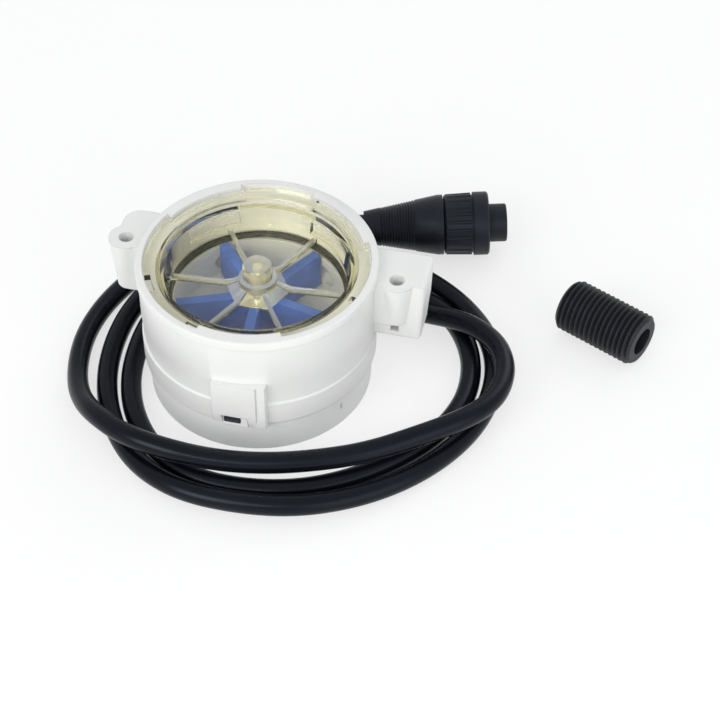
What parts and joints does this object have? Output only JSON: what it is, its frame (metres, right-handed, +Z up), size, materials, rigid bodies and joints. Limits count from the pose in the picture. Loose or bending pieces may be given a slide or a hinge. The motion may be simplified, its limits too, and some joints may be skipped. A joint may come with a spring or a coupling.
{
  "type": "rotary flow sensor",
  "caption": "Round paddle-wheel flow sensor with side ports, mounting ears and a clear bayonet lens, a coiled cable with a threaded plug and a loose pipe nipple.",
  "frame": {"origin": "centre of the rear cover's bottom face, on the surface that the sensor lies on", "axes": "+Z up along the rotor's axis, +X out of the right port, -Y towards the latch tab"},
  "size_m": [0.1429, 0.1153, 0.037],
  "materials": {
    "white_plastic": "satin moulded white plastic",
    "white_cover": "satin moulded white plastic, slightly duller",
    "amber_lens": "clear pale amber moulded plastic",
    "blue_plastic": "moulded blue plastic",
    "black_plastic": "satin black moulded plastic",
    "black_rubber": "black rubber",
    "cable_jacket": "smooth black cable jacket",
    "nipple_plastic": "dark grey filled plastic",
    "magnet": "plated magnets",
    "pin_steel": "ground steel",
    "board_green": "coated glass-fibre board",
    "chip_black": "moulded chip packages",
    "wire_insulation": "coloured wire insulation",
    "insert_plastic": "black contact insert",
    "contact_gold": "gold plated contacts"
  },
  "bodies": {
    "root": {"body_housing": "white_plastic", "rear_cover": "white_cover", "latch_plug": "black_plastic", "window_seal_ring": "black_rubber", "rotor_pin": "pin_steel", "circuit_board": "board_green", "hall_sensor": "chip_black", "board_components": "chip_black", "lead_wires": "wire_insulation", "cable_strain_relief": "black_rubber", "sensor_cable": "cable_jacket", "connector_tail_bushing": "black_rubber", "connector_backshell": "black_plastic", "connector_shell": "black_plastic", "connector_gasket": "black_rubber", "contact_insert": "insert_plastic", "connector_contacts": "contact_gold", "port_nipple": "nipple_plastic"},
    "rotor": {"rotor": "blue_plastic", "rotor_magnets": "magnet"},
    "lens": {"window_lens": "amber_lens"},
    "coupling": {"coupling_nut": "black_plastic"}
  },
  "joints": [
    {"name": "rotor_spin", "type": "hinge", "parent": "root", "child": "rotor", "pos_m": [0, 0, 0.019], "axis": [0, 0, 1], "continuous": true},
    {"name": "lens_twist", "type": "hinge", "parent": "root", "child": "lens", "pos_m": [0, 0, 0.03], "axis": [0, 0, 1], "range_deg": [0, 40]},
    {"name": "coupling_nut_spin", "type": "hinge", "parent": "root", "child": "coupling", "pos_m": [0.0413, 0.0557, 0.00835], "axis": [0.97, 0.24, 0.038], "continuous": true}
  ]
}
